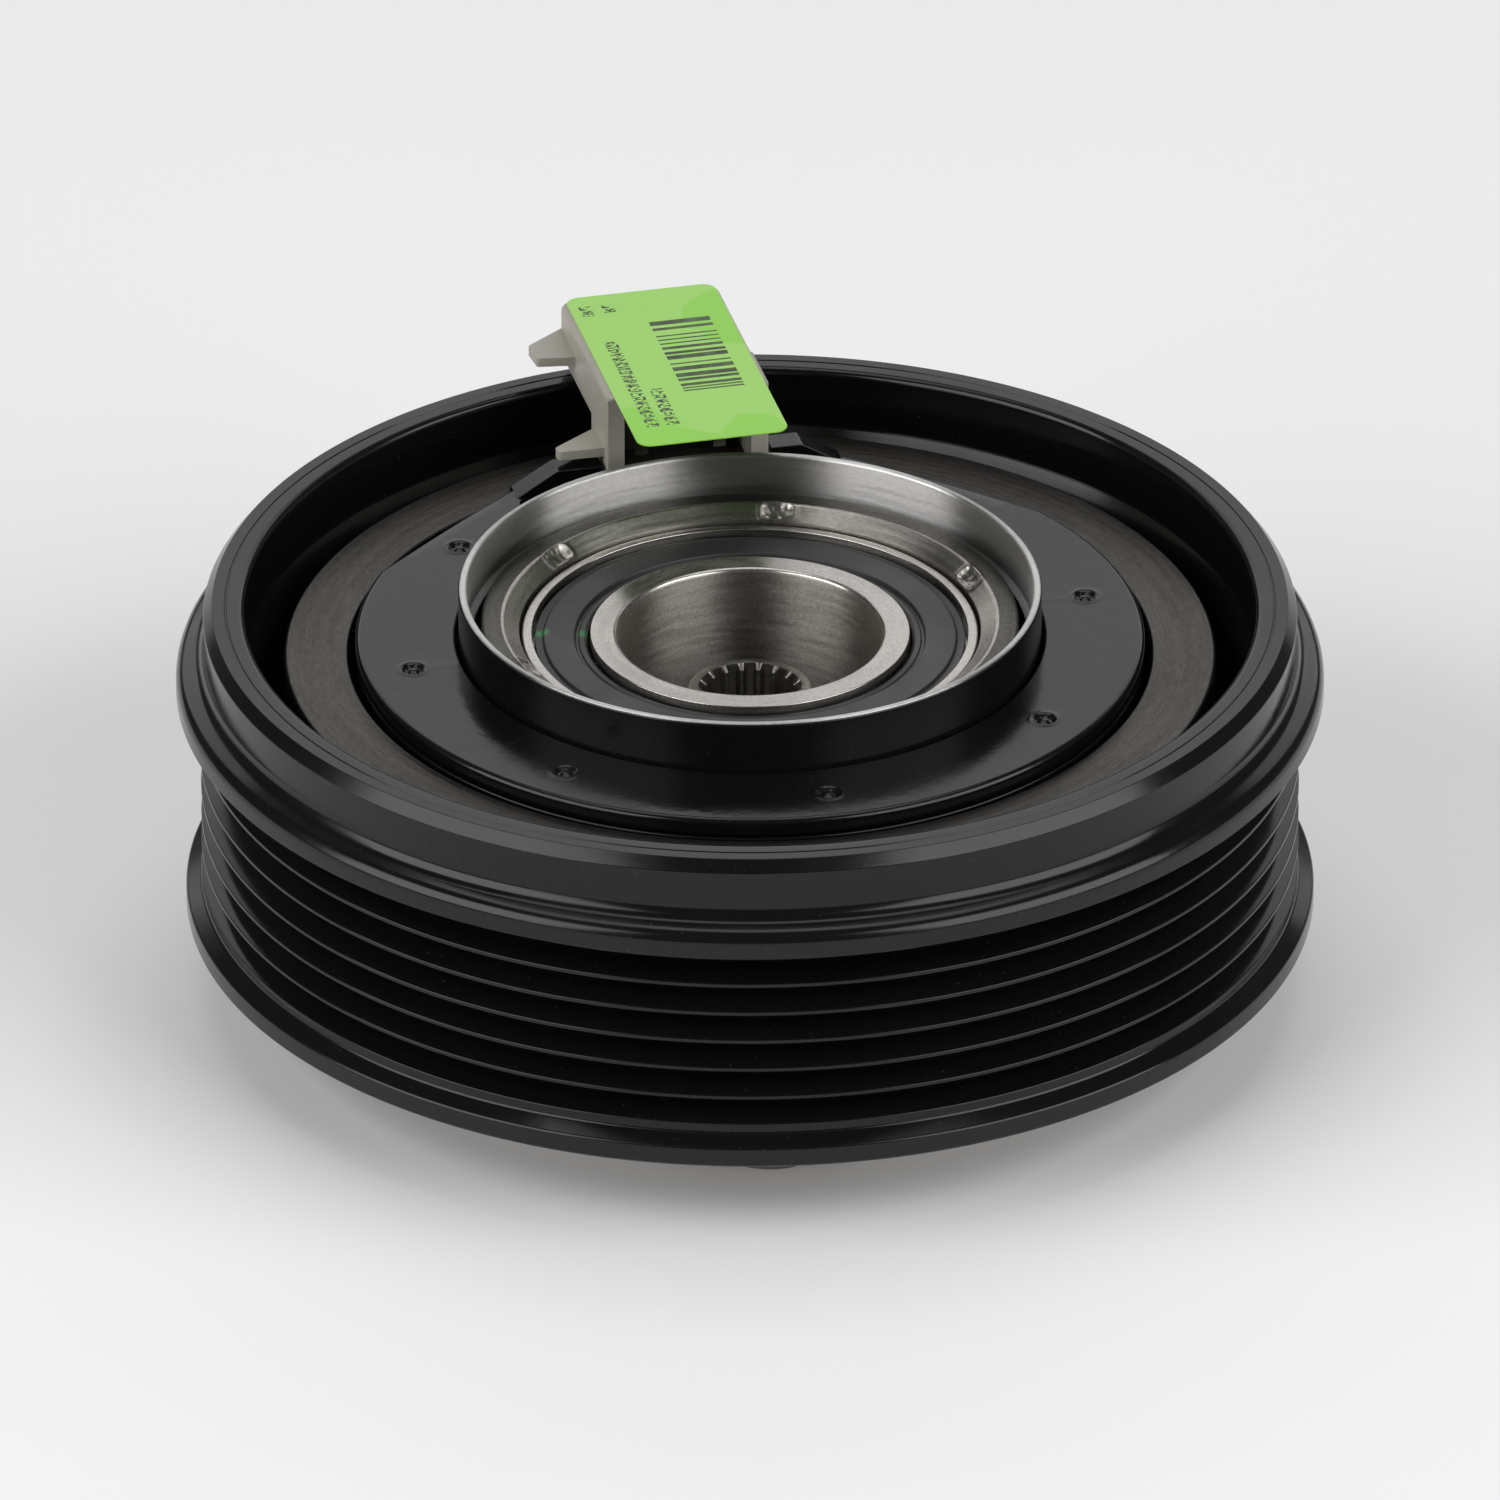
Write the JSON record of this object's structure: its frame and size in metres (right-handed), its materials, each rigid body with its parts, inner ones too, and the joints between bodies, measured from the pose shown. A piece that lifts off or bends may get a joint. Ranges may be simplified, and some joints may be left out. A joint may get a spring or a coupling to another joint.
{
  "type": "electromagnetic clutch",
  "caption": "Electromagnetic clutch for a belt-driven compressor: ribbed belt pulley and rotor on a ball bearing, field coil with connector, and a leaf-sprung armature on a splined hub.",
  "frame": {"origin": "on the clutch's axis, in the plane of the rivet heads that it rests on", "axes": "+Z along the axis, from the armature at the front to the compressor side at the rear; +Y towards the connector's side; +X to the right seen from in front of the pictured side"},
  "size_m": [0.13, 0.13, 0.0558],
  "materials": {
    "pulley_paint": "gloss black paint over turned steel",
    "rotor_steel": "dark turned steel",
    "bearing_steel": "ground bearing steel",
    "ball_steel": "polished",
    "cage_nylon": "glass-filled nylon",
    "seal_rubber": "moulded rubber",
    "coil_steel": "turned steel, painted black outside",
    "plate_paint": "black paint with an orange-peel surface",
    "bobbin_nylon": "nylon",
    "copper_wire": "enamelled copper wire",
    "resin": "potting resin",
    "connector_plastic": "warm grey moulded plastic",
    "tinned_brass": "tin plated",
    "label_paper": "green printed label",
    "armature_steel": "ground steel",
    "spring_steel": "blued spring steel",
    "rivet_steel": "dark steel",
    "hub_steel": "machined steel"
  },
  "bodies": {
    "stator": {"coil_shell": "coil_steel", "coil_bobbin": "bobbin_nylon", "coil_winding": "copper_wire", "coil_potting": "resin", "coil_plate": "plate_paint", "connector_housing": "connector_plastic", "connector_terminal_left": "tinned_brass", "connector_terminal_right": "tinned_brass", "connector_label": "label_paper", "bearing_inner_ring": "bearing_steel"},
    "pulley": {"pulley_rim": "pulley_paint", "rotor": "rotor_steel", "bearing_outer_ring": "bearing_steel", "bearing_seal_rear": "seal_rubber", "bearing_seal_front": "seal_rubber"},
    "rear_ball_row": {"ball_cage_rear": "cage_nylon", "ball_rear_01": "ball_steel", "ball_rear_02": "ball_steel", "ball_rear_03": "ball_steel", "ball_rear_04": "ball_steel", "ball_rear_05": "ball_steel", "ball_rear_06": "ball_steel", "ball_rear_07": "ball_steel", "ball_rear_08": "ball_steel", "ball_rear_09": "ball_steel", "ball_rear_10": "ball_steel", "ball_rear_11": "ball_steel", "ball_rear_12": "ball_steel"},
    "front_ball_row": {"ball_cage_front": "cage_nylon", "ball_front_01": "ball_steel", "ball_front_02": "ball_steel", "ball_front_03": "ball_steel", "ball_front_04": "ball_steel", "ball_front_05": "ball_steel", "ball_front_06": "ball_steel", "ball_front_07": "ball_steel", "ball_front_08": "ball_steel", "ball_front_09": "ball_steel", "ball_front_10": "ball_steel", "ball_front_11": "ball_steel", "ball_front_12": "ball_steel"},
    "hub": {"splined_hub": "hub_steel", "hub_rivet_1": "rivet_steel", "hub_rivet_2": "rivet_steel", "hub_rivet_3": "rivet_steel", "leaf_spring_1": "spring_steel", "leaf_spring_2": "spring_steel", "leaf_spring_3": "spring_steel"},
    "armature": {"armature_plate": "armature_steel", "armature_rivet_1": "rivet_steel", "armature_rivet_2": "rivet_steel", "armature_rivet_3": "rivet_steel"}
  },
  "joints": [
    {"name": "pulley_spin", "type": "hinge", "parent": "stator", "child": "pulley", "pos_m": [0, 0, 0.0327], "axis": [0, 0, 1], "continuous": true},
    {"name": "rear_ball_row_spin", "type": "hinge", "parent": "stator", "child": "rear_ball_row", "pos_m": [0, 0, 0.0367], "axis": [0, 0, 1], "continuous": true},
    {"name": "front_ball_row_spin", "type": "hinge", "parent": "stator", "child": "front_ball_row", "pos_m": [0, 0, 0.0287], "axis": [0, 0, 1], "continuous": true},
    {"name": "hub_spin", "type": "hinge", "parent": "stator", "child": "hub", "pos_m": [0, 0, 0.0204], "axis": [0, 0, 1], "continuous": true},
    {"name": "armature_pull_in", "type": "slide", "parent": "hub", "child": "armature", "axis": [0, 0, 1], "range_m": [0, 0.0005], "stiffness_N_per_m": 30000, "deforming": ["leaf_spring_1", "leaf_spring_2", "leaf_spring_3"]}
  ],
  "couplings": [
    {"joint": "rear_ball_row_spin", "follows": "pulley_spin", "ratio": 0.5822},
    {"joint": "front_ball_row_spin", "follows": "pulley_spin", "ratio": 0.5822}
  ]
}
